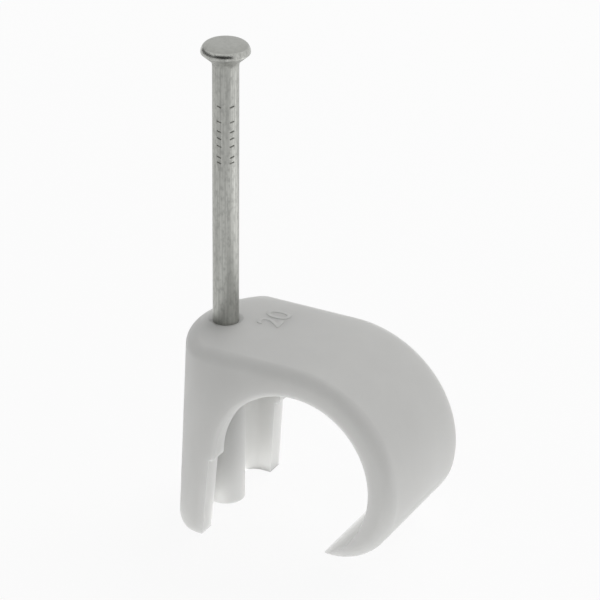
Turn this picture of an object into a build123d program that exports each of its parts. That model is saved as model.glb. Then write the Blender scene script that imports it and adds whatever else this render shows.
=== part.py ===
from build123d import *
import os
from math import cos, radians, sin, sqrt, tan

# Nail in cable clip: a moulded plastic hook that holds one round cable against a wall, and the steel nail
# that stands ready in its boss. Millimetres, Z up along the nail, X towards the hook, Y along the cable.
# The origin is where the nail's axis meets the wall.

# Cable seat
cable_diameter = 20.0
seat_start = 3.6
seat_gap = 0.5
crown = 3.35
seat_ease = 0.7
tip_direction = -66.0

# Outer line of the hook: one round back, then a tighter curl to the tip
hook_wall = 3.4
hook_shift = 0.35
curl_start = -13.5
curl_inset = 5.55
curl_end = -150.0
rim_radius = 1.65

# Leg
leg_width = 19.1
back_wall = 2.35
back_bow = 0.6
leg_corner = 3.65
leg_wall = 2.2
leg_lean = 0.75
step_width = 0.75
step_drop = 0.55
draft_angle = 2.2
pocket_back = 1.0
pocket_corner = 1.9
pocket_overlap = 3.4

# Boss and its bore
boss_wall = 0.75
nail_clearance = 0.04
mouth_width = 0.5
mouth_depth = 0.2
mouth_radius = 0.4

# Nail
nail_diameter = 3.1
nail_length = 50.0
nail_depth = 15.25
point_length = 4.5
point_overlap = 1.2
head_overhang = 1.32
head_height = 1.25
head_shoulder = 1.15
head_edge = 0.12
underside_drop = 1.15
neck_radius = 0.8

# Grip marks: their rows below the top of the head, and one mark's place and size
grip_rows = (7.4, 9.25, 10.45, 11.3, 12.25, 13.6, 14.3)
grip_facing = 28.5
grip_spread = 29.0
grip_slant = 14.0
grip_length = 0.6
grip_depth = 0.12

# Sizes that follow from those above
seat_radius = cable_diameter / 2
seat_x = seat_start + seat_radius
seat_z = seat_gap + seat_radius
top = seat_z + seat_radius + crown
hook_radius = seat_radius + hook_wall
hook_x = seat_x - hook_shift
hook_z = top - hook_radius
curl_radius = hook_radius - curl_inset
curl_x = hook_x + curl_inset * cos(radians(curl_start))
curl_z = hook_z + curl_inset * sin(radians(curl_start))
step_x = seat_start - step_width
step_z = seat_z - step_drop
foot_x = step_x - leg_lean
half_width = leg_width / 2
boss_radius = nail_diameter / 2 + boss_wall
leg_back = boss_radius + back_wall
leg_back_radius = back_bow * leg_width
pocket_top = top - crown

with BuildPart() as clip_body:
    # Side view: the leg, the flat top and the hook's back, with the seat still filled in
    with BuildSketch(Plane.XZ):
        with BuildLine():
            Line((-leg_back, top), (hook_x, top))
            CenterArc((hook_x, hook_z), hook_radius, 90, curl_start - 90)
            curl = CenterArc((curl_x, curl_z), curl_radius, curl_start, curl_end - curl_start)
            Polyline(curl @ 1, (seat_x, seat_z), (seat_start, seat_z))
            step = TangentArc((seat_start, seat_z), (step_x, step_z), tangent=(0, -1))
            Polyline(step @ 1, (foot_x, 0), (-leg_back, 0), (-leg_back, top))
        make_face()
    extrude(amount=half_width, both=True)

    # Plan view: a bowed back with round corners, and walls that lean in from the wall face up
    back_chord = leg_back_radius - sqrt(leg_back_radius**2 - half_width**2)
    corner_x = back_chord - leg_back
    front_x = hook_x + hook_radius + leg_corner
    with BuildSketch(Plane.XY) as plan:
        with BuildLine():
            bow = ThreePointArc((corner_x, half_width), (-leg_back, 0), (corner_x, -half_width))
            Polyline(bow @ 1, (front_x, -half_width), (front_x, half_width), bow @ 0)
        make_face()
        fillet(plan.vertices().group_by(Axis.X)[0], radius=leg_corner)
    extrude(amount=top, taper=draft_angle, mode=Mode.INTERSECT)

    # One soft edge round the top and down both sides of the hook's back
    top_face = clip_body.faces().sort_by(Axis.Z)[-1]
    round_faces = clip_body.faces().filter_by(GeomType.CYLINDER)
    back_faces = round_faces.filter_by(lambda face: face.center().X > seat_x)
    rim = top_face.edges().sort_by(Axis.X)[:-1] + back_faces.edges().filter_by(Axis.Y, reverse=True)
    fillet(rim, radius=rim_radius)

    # The seat goes right through along the cable
    with BuildSketch(Plane.XZ):
        with Locations((seat_x, seat_z)):
            Circle(seat_radius)
    extrude(amount=half_width, both=True, mode=Mode.SUBTRACT)

    # Both rims of the seat are eased over the leg and the crown; the easing runs out before the tip
    lean = radians(draft_angle)
    away = radians(tip_direction + 180)
    ease_x = seat_x + seat_ease / 2 * cos(away)
    ease_z = seat_z + seat_ease / 2 * sin(away)
    ease_y = half_width - ease_z * tan(lean)
    ease_start = seat_radius - seat_ease / 2
    for side in (-1, 1):
        outward = Vector(0, side * cos(lean), sin(lean))
        centre = Vector(ease_x, side * ease_y, ease_z)
        with BuildSketch(Plane(centre, x_dir=(1, 0, 0), z_dir=-outward.cross(Vector(1, 0, 0)))):
            with BuildLine():
                rounding = CenterArc((ease_start + seat_ease, -seat_ease), seat_ease, 90, 90)
                Polyline(
                    rounding @ 0,
                    (ease_start + seat_ease, seat_ease),
                    (ease_start - seat_ease, seat_ease),
                    (ease_start - seat_ease, -seat_ease),
                    rounding @ 1,
                )
            make_face()
        revolve(axis=Axis(centre, outward), mode=Mode.SUBTRACT)

    # Pocket between the walls of the leg, open at the wall face
    pocket_end = seat_start + pocket_overlap
    pocket_length = pocket_end + pocket_back
    with BuildSketch(Plane.XY):
        with Locations((pocket_end - pocket_length / 2, 0)):
            RectangleRounded(pocket_length, leg_width - 2 * leg_wall, pocket_corner)
    extrude(amount=pocket_top, taper=draft_angle, mode=Mode.SUBTRACT)

    # Boss for the nail, and its bore with a shallow, soft mouth
    bore_radius = nail_diameter / 2 + nail_clearance
    with BuildSketch(Plane.XY):
        Circle(boss_radius)
    extrude(amount=pocket_top)
    with BuildSketch(Plane.XY):
        Circle(bore_radius)
    extrude(amount=top, mode=Mode.SUBTRACT)
    mouth_end = bore_radius + mouth_width
    with BuildSketch(Plane.XZ) as mouth:
        with BuildLine():
            Polyline(
                (0, top - mouth_depth),
                (bore_radius, top - mouth_depth),
                (mouth_end, top),
                (mouth_end + mouth_radius, top),
                (mouth_end + mouth_radius, top + mouth_depth),
                (0, top + mouth_depth),
                close=True,
            )
        make_face()
        lip = mouth.vertices().group_by(Axis.X)[2]
        fillet(lip, radius=mouth_radius)
    revolve(axis=Axis.Z, mode=Mode.SUBTRACT)

clip_body.part.label = "clip_body"

point_z = top - nail_depth
head_top = point_z + nail_length
shank_radius = nail_diameter / 2
head_radius = shank_radius + head_overhang
underside_z = head_top - head_height
neck_z = underside_z - underside_drop

with BuildPart() as nail:
    # Turned outline: shank, hollow neck, sloping underside and a head with a round shoulder
    with BuildSketch(Plane.XZ) as outline:
        with BuildLine():
            Polyline(
                (0, point_z),
                (shank_radius, point_z),
                (shank_radius, neck_z),
                (head_radius, underside_z),
                (head_radius, head_top),
                (0, head_top),
                close=True,
            )
        make_face()
        neck_corner = outline.vertices().group_by(Axis.Y)[1]
        fillet(neck_corner, radius=neck_radius)
        rim_corner = outline.vertices().group_by(Axis.X)[-1].sort_by(Axis.Y)[0]
        fillet(rim_corner, radius=head_edge)
        shoulder_corner = outline.vertices().group_by(Axis.X)[-1].sort_by(Axis.Y)[-1]
        fillet(shoulder_corner, radius=head_shoulder)
    revolve(axis=Axis.Z)

    # Four-sided point
    for side_view in (Plane.XZ, Plane.YZ):
        with BuildSketch(side_view):
            with BuildLine():
                Polyline(
                    (0, point_z),
                    (point_overlap * shank_radius, point_z),
                    (point_overlap * shank_radius, point_z + point_overlap * point_length),
                    close=True,
                )
            make_face()
            mirror(about=Plane.YZ)
        extrude(amount=nail_diameter, both=True, mode=Mode.SUBTRACT)

    # Slanting grip marks that the heading machine leaves in pairs on both sides of the shank
    notch = grip_depth * sqrt(2)
    for distance in grip_rows:
        for facing in (grip_facing, grip_facing + 180):
            for side in (-1, 1):
                with Locations(Rotation(0, 0, facing + side * grip_spread)):
                    with Locations(Location((0, -shank_radius, head_top - distance), (0, -side * grip_slant, 0))):
                        Box(grip_length, notch, notch, rotation=(45, 0, 0), mode=Mode.SUBTRACT)

nail.part.label = "nail"

os.makedirs("parts", exist_ok=True)
export_step(clip_body.part, "parts/clip_body.step")
export_step(nail.part, "parts/nail.step")
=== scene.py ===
import bmesh
import bpy
import math
from mathutils import Matrix, Vector


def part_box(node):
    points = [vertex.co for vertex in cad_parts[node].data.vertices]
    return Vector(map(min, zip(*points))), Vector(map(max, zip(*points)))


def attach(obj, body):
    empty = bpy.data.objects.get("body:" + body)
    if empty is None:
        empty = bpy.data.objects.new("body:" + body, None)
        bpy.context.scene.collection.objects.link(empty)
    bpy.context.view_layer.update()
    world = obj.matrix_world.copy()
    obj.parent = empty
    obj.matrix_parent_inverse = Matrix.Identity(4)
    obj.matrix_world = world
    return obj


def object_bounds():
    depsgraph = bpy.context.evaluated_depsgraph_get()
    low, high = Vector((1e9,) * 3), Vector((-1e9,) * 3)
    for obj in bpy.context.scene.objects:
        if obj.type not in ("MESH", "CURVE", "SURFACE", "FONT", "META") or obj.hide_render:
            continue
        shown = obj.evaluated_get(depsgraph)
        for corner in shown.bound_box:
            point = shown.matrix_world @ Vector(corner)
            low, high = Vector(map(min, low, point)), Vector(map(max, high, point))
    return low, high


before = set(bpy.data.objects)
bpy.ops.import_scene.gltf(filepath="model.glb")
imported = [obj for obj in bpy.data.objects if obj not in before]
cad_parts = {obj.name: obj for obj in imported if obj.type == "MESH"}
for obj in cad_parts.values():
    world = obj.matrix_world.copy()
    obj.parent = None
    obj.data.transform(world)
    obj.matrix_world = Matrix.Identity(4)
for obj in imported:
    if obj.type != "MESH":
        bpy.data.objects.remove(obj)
cad_low, cad_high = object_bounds()

# Clip: the hook, its leg and the nail's boss, one moulding in light grey polypropylene. The mould was
# spark eroded and then rubbed down, so the skin is satin, with a very fine grain and faint flow marks.

MM = 0.001
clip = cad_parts["clip_body"]
plastic_colour = (0.6, 0.6, 0.588)
plastic_roughness = (0.5, 0.57)
translucency = 0.6
light_reach = 5.0 * MM
grain_spacing = 0.16 * MM
grain_height = 0.0016 * MM
flow_spacing = 5.0 * MM
flow_tint = 0.02
weld_distance = 0.0005 * MM
crisp_edge = math.radians(28)


def shade_solid(piece):
    """Shade a CAD solid's curved faces smooth and keep its crisp edges and its flat faces."""
    for polygon in piece.data.polygons:
        polygon.use_smooth = True
    joined = piece.modifiers.new("joined_triangles", "WELD")
    joined.merge_threshold = weld_distance
    crisp = piece.modifiers.new("crisp_edges", "EDGE_SPLIT")
    crisp.split_angle = crisp_edge
    flat = piece.modifiers.new("flat_faces", "WEIGHTED_NORMAL")
    flat.keep_sharp = True


def new_material(name):
    """A material, its nodes, what links them, and its Principled shader."""
    material = bpy.data.materials.new(name)
    material.use_nodes = True
    nodes = material.node_tree.nodes
    return material, nodes, material.node_tree.links.new, nodes["Principled BSDF"]


def grain_group():
    """Shader group: grain that repeats at its own rate along each axis, as a height and as a mask."""
    group = bpy.data.node_groups.new("surface_grain", "ShaderNodeTree")
    add_socket = group.interface.new_socket
    add_socket("Repeats", in_out="INPUT", socket_type="NodeSocketVector")
    add_socket("Detail", in_out="INPUT", socket_type="NodeSocketFloat")
    add_socket("Contrast", in_out="INPUT", socket_type="NodeSocketFloat")
    add_socket("Height", in_out="OUTPUT", socket_type="NodeSocketFloat")
    add_socket("Mask", in_out="OUTPUT", socket_type="NodeSocketFloat")
    nodes = group.nodes
    link = group.links.new
    entry = nodes.new("NodeGroupInput")
    result = nodes.new("NodeGroupOutput")
    position = nodes.new("ShaderNodeTexCoord")
    spaced = nodes.new("ShaderNodeVectorMath")
    spaced.operation = "MULTIPLY"
    noise = nodes.new("ShaderNodeTexNoise")
    noise.inputs["Scale"].default_value = 1
    centred = nodes.new("ShaderNodeMath")
    centred.operation = "SUBTRACT"
    centred.inputs[1].default_value = 0.5
    stretched = nodes.new("ShaderNodeMath")
    stretched.operation = "MULTIPLY_ADD"
    stretched.inputs[2].default_value = 0.5
    stretched.use_clamp = True
    link(position.outputs["Object"], spaced.inputs[0])
    link(entry.outputs["Repeats"], spaced.inputs[1])
    link(spaced.outputs[0], noise.inputs["Vector"])
    link(entry.outputs["Detail"], noise.inputs["Detail"])
    link(noise.outputs["Fac"], result.inputs["Height"])
    link(noise.outputs["Fac"], centred.inputs[0])
    link(centred.outputs[0], stretched.inputs[0])
    link(entry.outputs["Contrast"], stretched.inputs[1])
    link(stretched.outputs[0], result.inputs["Mask"])
    return group


def add_grain(nodes, group, spacing, detail, contrast):
    """Place the grain group in a material; spacing is the grain's size along X, Y and Z in metres."""
    node = nodes.new("ShaderNodeGroup")
    node.node_tree = group
    node.inputs["Repeats"].default_value = [1 / step for step in spacing]
    node.inputs["Detail"].default_value = detail
    node.inputs["Contrast"].default_value = contrast
    return node


def scaled(colour, share):
    """A colour at a share of its brightness."""
    return [share * channel for channel in colour]


def between(nodes, link, mask, low, high):
    """A value that runs from low to high with a mask."""
    node = nodes.new("ShaderNodeMapRange")
    node.inputs["To Min"].default_value = low
    node.inputs["To Max"].default_value = high
    link(mask, node.inputs["Value"])
    return node.outputs["Result"]


def blended(nodes, link, mask, low, high):
    """A colour that runs from low to high with a mask; each is plain or comes from another node."""
    node = nodes.new("ShaderNodeMix")
    node.data_type = "RGBA"
    link(mask, node.inputs["Factor"])
    for name, colour in (("A", low), ("B", high)):
        if isinstance(colour, bpy.types.NodeSocket):
            link(colour, node.inputs[name])
        else:
            node.inputs[name].default_value = (*colour, 1)
    return node.outputs["Result"]


def raised(nodes, link, height, depth, under=None):
    """A bump of a real depth in metres, on top of another bump where one is given."""
    node = nodes.new("ShaderNodeBump")
    node.inputs["Strength"].default_value = 1
    node.inputs["Distance"].default_value = depth
    link(height, node.inputs["Height"])
    if under:
        link(under, node.inputs["Normal"])
    return node.outputs["Normal"]


grain = grain_group()
moulded_grey, nodes, link, skin = new_material("moulded_grey_polypropylene")
fine = add_grain(nodes, grain, (grain_spacing,) * 3, detail=2, contrast=1)
flow = add_grain(nodes, grain, (flow_spacing, flow_spacing, 2 * flow_spacing), detail=3, contrast=2.5)
skin.subsurface_method = "RANDOM_WALK"
skin.inputs["Subsurface Weight"].default_value = translucency
skin.inputs["Subsurface Radius"].default_value = (1, 1, 1)
skin.inputs["Subsurface Scale"].default_value = light_reach
lighter = scaled(plastic_colour, 1 + flow_tint)
darker = scaled(plastic_colour, 1 - flow_tint)
link(blended(nodes, link, flow.outputs["Mask"], darker, lighter), skin.inputs["Base Color"])
link(between(nodes, link, flow.outputs["Mask"], *plastic_roughness), skin.inputs["Roughness"])
link(raised(nodes, link, fine.outputs["Height"], grain_height), skin.inputs["Normal"])
clip.data.materials.clear()
clip.data.materials.append(moulded_grey)
shade_solid(clip)

# Size mark: the cable size in plain raised digits on the crown, engraved in the mould and so part of the
# moulding. It stands up by half the thickness of a sheet of paper, with soft edges. Its own mesh is too
# thin for light to spread in, so its grey has no translucency.

mark_text = "20"
mark_height = 3.0 * MM
mark_rise = 0.045 * MM
mark_softness = 0.035 * MM
mark_crease = math.radians(50)
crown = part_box("clip_body")[1].z
mark_place = Vector((5.2 * MM, 2.7 * MM, crown))
digit_share_of_font = 0.7
digits = bpy.data.curves.new("size_digits", "FONT")
digits.body = mark_text
digits.align_x = "CENTER"
digits.align_y = "CENTER"
digits.size = mark_height / digit_share_of_font
digits.extrude = mark_rise - mark_softness
digits.bevel_depth = mark_softness
digits.bevel_resolution = 2
carrier = bpy.data.objects.new("size_digits", digits)
bpy.context.scene.collection.objects.link(carrier)
shape = bpy.data.meshes.new_from_object(carrier.evaluated_get(bpy.context.evaluated_depsgraph_get()))
bpy.data.objects.remove(carrier)
form = bmesh.new()
form.from_mesh(shape)
bmesh.ops.remove_doubles(form, verts=form.verts, dist=2 * weld_distance)
bmesh.ops.recalc_face_normals(form, faces=form.faces)
form.to_mesh(shape)
form.free()
shape.transform(Matrix.Translation(mark_place) @ Matrix.Rotation(math.pi / 2, 4, "Z"))
size_mark = bpy.data.objects.new("size_mark", shape)
bpy.context.scene.collection.objects.link(size_mark)
thin_grey = moulded_grey.copy()
thin_grey.name = "moulded_grey_thin"
thin_grey.node_tree.nodes["Principled BSDF"].inputs["Subsurface Weight"].default_value = 0
size_mark.data.materials.append(thin_grey)
for polygon in size_mark.data.polygons:
    polygon.use_smooth = True
size_mark.data.set_sharp_from_angle(angle=mark_crease)
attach(size_mark, "clip")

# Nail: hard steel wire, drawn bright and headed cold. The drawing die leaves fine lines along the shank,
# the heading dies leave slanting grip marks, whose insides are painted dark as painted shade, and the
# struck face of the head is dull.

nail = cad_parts["nail"]
steel_colour = (0.53, 0.535, 0.505)
# Painted shade: the dark colour painted inside the grip marks.
grip_shade_colour = (0.19, 0.19, 0.175)
drawn_width = 0.1 * MM
drawn_length = 12.0 * MM
drawn_depth = 0.006 * MM
drawn_roughness = (0.48, 0.34)
mottle_spacing = 0.35 * MM
mottle_depth = 0.01 * MM
shank_radius = 1.55 * MM
grip_shade_start = 0.012 * MM
grip_shade_full = 0.05 * MM
grip_shade_cover = (0.55, 1.0)
head_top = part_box("nail")[1].z
grip_high = head_top - 5.6 * MM
grip_low = head_top - 16.6 * MM
grip_fade = 1.0 * MM
neck_start = head_top - 2.8 * MM
neck_roughness = 0.6
rim_start = head_top - 1.4 * MM
rim_roughness = 0.25
neck_fade = 0.2 * MM
face_start = head_top - 0.5 * MM
face_roughness = 0.45
face_fade = 0.1 * MM


def step_mask(nodes, link, value, low, high):
    """A mask that rises from zero to one as a length goes from low to high."""
    node = nodes.new("ShaderNodeMapRange")
    node.inputs["From Min"].default_value = low
    node.inputs["From Max"].default_value = high
    link(value, node.inputs["Value"])
    return node.outputs["Result"]


def both(nodes, link, first, second):
    """The product of two masks."""
    node = nodes.new("ShaderNodeMath")
    node.operation = "MULTIPLY"
    link(first, node.inputs[0])
    link(second, node.inputs[1])
    return node.outputs[0]


def covered(nodes, link, mask, value, level):
    """A value from another node that gives way to a plain level under a mask."""
    node = nodes.new("ShaderNodeMix")
    link(mask, node.inputs["Factor"])
    link(value, node.inputs["A"])
    node.inputs["B"].default_value = level
    return node.outputs["Result"]


drawn_steel, nodes, link, skin = new_material("bright_drawn_steel")
skin.inputs["Metallic"].default_value = 1
lines = add_grain(nodes, grain, (drawn_width, drawn_width, drawn_length), detail=4, contrast=3.2)
mottle = add_grain(nodes, grain, (mottle_spacing, mottle_spacing, 2 * mottle_spacing), detail=3, contrast=3.4)
spots = mottle.outputs["Mask"]
strong_spots = both(nodes, link, spots, spots)
dull = scaled(steel_colour, 0.75)
worn = scaled(steel_colour, 0.68)

position = nodes.new("ShaderNodeTexCoord")
heights = nodes.new("ShaderNodeSeparateXYZ")
link(position.outputs["Object"], heights.inputs[0])
height = heights.outputs["Z"]
from_axis = nodes.new("ShaderNodeVectorMath")
from_axis.operation = "MULTIPLY"
from_axis.inputs[1].default_value = (1, 1, 0)
link(position.outputs["Object"], from_axis.inputs[0])
radius = nodes.new("ShaderNodeVectorMath")
radius.operation = "LENGTH"
link(from_axis.outputs[0], radius.inputs[0])
off_axis = radius.outputs["Value"]
neck = step_mask(nodes, link, height, neck_start, neck_start + neck_fade)
rim = step_mask(nodes, link, height, rim_start, rim_start + neck_fade)
struck_face = step_mask(nodes, link, height, face_start, face_start + face_fade)

# Painted shade inside the grip marks: the dark colour fills the recess below the shank's surface, in patches.
in_marks = step_mask(nodes, link, off_axis, shank_radius - grip_shade_start, shank_radius - grip_shade_full)
over_low = step_mask(nodes, link, height, grip_low, grip_low + grip_fade)
under_high = step_mask(nodes, link, height, grip_high, grip_high - grip_fade)
painted_grip_shade = both(nodes, link, in_marks, both(nodes, link, over_low, under_high))
painted_grip_shade = both(nodes, link, painted_grip_shade, between(nodes, link, spots, *grip_shade_cover))

wire = blended(nodes, link, lines.outputs["Mask"], dull, steel_colour)
wire = blended(nodes, link, strong_spots, wire, worn)
wire = blended(nodes, link, painted_grip_shade, wire, grip_shade_colour)
wire = blended(nodes, link, struck_face, wire, blended(nodes, link, spots, worn, dull))
link(wire, skin.inputs["Base Color"])
roughness = between(nodes, link, lines.outputs["Mask"], *drawn_roughness)
roughness = covered(nodes, link, neck, roughness, neck_roughness)
roughness = covered(nodes, link, rim, roughness, rim_roughness)
roughness = covered(nodes, link, struck_face, roughness, face_roughness)
link(roughness, skin.inputs["Roughness"])
drawn = raised(nodes, link, lines.outputs["Height"], drawn_depth)
link(raised(nodes, link, mottle.outputs["Height"], mottle_depth, drawn), skin.inputs["Normal"])
nail.data.materials.clear()
nail.data.materials.append(drawn_steel)
shade_solid(nail)

# Floor: one plain pale sheet, wide enough to fill every view, a tenth of a millimetre below the clip to
# leave room for the light table. Most of what the camera and the steel see of it is plain white, and the
# rest keeps the clip's shadow.

floor_size = 3.0
floor_gap = 0.1 * MM
floor_grey = 0.93
floor_white_share = 0.9
matt = 0.9


def background_rays(nodes, link, otherwise, level):
    """A value for the background: one level where it is seen straight, mirrored or through glass."""
    rays = nodes.new("ShaderNodeLightPath")
    seen = rays.outputs["Is Camera Ray"]
    for kind in ("Is Glossy Ray", "Is Transmission Ray"):
        either = nodes.new("ShaderNodeMath")
        either.operation = "MAXIMUM"
        link(seen, either.inputs[0])
        link(rays.outputs[kind], either.inputs[1])
        seen = either.outputs[0]
    return between(nodes, link, seen, otherwise, level)


bpy.ops.mesh.primitive_plane_add(size=floor_size, location=(0, 0, -floor_gap))
floor = bpy.context.object
floor.name = "floor"
pale, nodes, link, skin = new_material("pale_floor")
skin.inputs["Base Color"].default_value = (floor_grey, floor_grey, floor_grey, 1)
skin.inputs["Roughness"].default_value = matt
skin.inputs["Specular IOR Level"].default_value = 0.1
white = nodes.new("ShaderNodeEmission")
white.inputs["Color"].default_value = (1, 1, 1, 1)
mixed = nodes.new("ShaderNodeMixShader")
link(background_rays(nodes, link, 0, floor_white_share), mixed.inputs["Fac"])
link(skin.outputs["BSDF"], mixed.inputs[1])
link(white.outputs["Emission"], mixed.inputs[2])
link(mixed.outputs["Shader"], nodes["Material Output"].inputs["Surface"])
floor.data.materials.append(pale)

# Light: a white room, soft boxes behind and to the right, and a light table under the clip, with small
# panes below its opening and its pocket. The table's right part and two cards show only in reflections,
# where they brighten the nail's right side and darken its front and its left side.

room_light = 0.5
world = bpy.data.worlds.new("white_room")
world.use_nodes = True
bpy.context.scene.world = world
nodes = world.node_tree.nodes
link = world.node_tree.links.new
room = nodes["Background"]
room.inputs["Color"].default_value = (1, 1, 1, 1)
link(background_rays(nodes, link, room_light, 1.0), room.inputs["Strength"])

camera_azimuth = math.radians(27.778)
middle = (cad_low + cad_high) / 2


def around(turn, rise, distance):
    """A place round the clip: turn anticlockwise from the camera's side and rise, both in degrees."""
    azimuth = camera_azimuth - math.pi / 2 + math.radians(turn)
    level = math.cos(math.radians(rise))
    way = Vector((level * math.cos(azimuth), level * math.sin(azimuth), math.sin(math.radians(rise))))
    return Vector((middle.x, middle.y, 0)) + distance * way


def square_lamp(name, place, size, glow):
    """A square lamp that faces up until it is turned; glow is its brightness, where one is white."""
    light = bpy.data.lights.new(name, "AREA")
    light.shape = "SQUARE"
    light.size = size
    light.energy = glow * math.pi * size**2
    lamp = bpy.data.objects.new(name, light)
    bpy.context.scene.collection.objects.link(lamp)
    lamp.location = place
    lamp.rotation_euler = (math.pi, 0, 0)
    return lamp


# Soft boxes: turn and rise in degrees, distance and size in metres.
for name, turn, rise, distance, size, glow in (
    ("soft_box_back", 140, 42, 0.9, 0.8, 1.6),
    ("soft_box_right", 88, 8, 0.8, 0.45, 0.42),
):
    box = square_lamp(name, around(turn, rise, distance), size, glow)
    box.rotation_euler = (middle - box.location).to_track_quat("-Z", "Y").to_euler()
    box.visible_glossy = False

# Light table: place, depth below the wall face and size in millimetres.
for name, place_x, place_y, depth, size, glow, mirrored in (
    ("light_table", 0, -6, 0.06, 120, 0.5, False),
    ("light_below_opening", 10, 0, 0.03, 13, 0.8, False),
    ("light_below_pocket_near", 0.6, -4.8, 0.03, 3.6, 2.0, False),
    ("light_below_pocket_far", 0.6, 4.8, 0.03, 3.6, 1.5, False),
    ("light_table_right", 105, 41, 0.03, 100, 0.7, True),
):
    pane = square_lamp(name, MM * Vector((place_x, place_y, -depth)), size * MM, glow)
    pane.visible_camera = False
    pane.visible_glossy = mirrored
    pane.visible_diffuse = not mirrored

# Cards: upright on the floor and facing the clip; turn in degrees, distance, width and height in metres.
for name, turn, distance, width, height, grey in (
    ("dark_card", -10, 0.6, 1.1, 0.42, 0.04),
    ("grey_card", -90, 0.45, 1.0, 0.2, 0.25),
):
    bpy.ops.mesh.primitive_plane_add(size=1, location=around(turn, 0, distance) + Vector((0, 0, height / 2)))
    sheet = bpy.context.object
    sheet.name = name
    sheet.scale = (width, height, 1)
    sheet.rotation_euler = (math.pi / 2, 0, camera_azimuth + math.radians(turn))
    sheet.visible_camera = False
    sheet.visible_diffuse = False
    sheet.visible_shadow = False
    paper, nodes, link, skin = new_material(name)
    skin.inputs["Base Color"].default_value = (grey, grey, grey, 1)
    skin.inputs["Roughness"].default_value = matt
    sheet.data.materials.append(paper)

# Camera: the photograph's own place, worked out from the clip's edges.

camera_elevation = math.radians(26.363)
camera_roll = math.radians(0.64)
camera_distance = 354.585 * MM
camera_aim = MM * Vector((8.253, 2.960, 26.926))
lens = bpy.data.cameras.new("camera")
lens.sensor_width = 36
lens.lens = 182.36
lens.clip_start = 0.01
lens.clip_end = 10
camera = bpy.data.objects.new("camera", lens)
bpy.context.scene.collection.objects.link(camera)
tilt = Matrix.Rotation(math.pi / 2 - camera_elevation, 4, "X")
turned = Matrix.Rotation(camera_azimuth, 4, "Z") @ tilt
back = turned.col[2].to_3d()
place = Matrix.Translation(camera_aim + camera_distance * back)
camera.matrix_world = place @ turned @ Matrix.Rotation(camera_roll, 4, "Z")
bpy.context.scene.camera = camera
bpy.context.scene.view_settings.view_transform = "Standard"
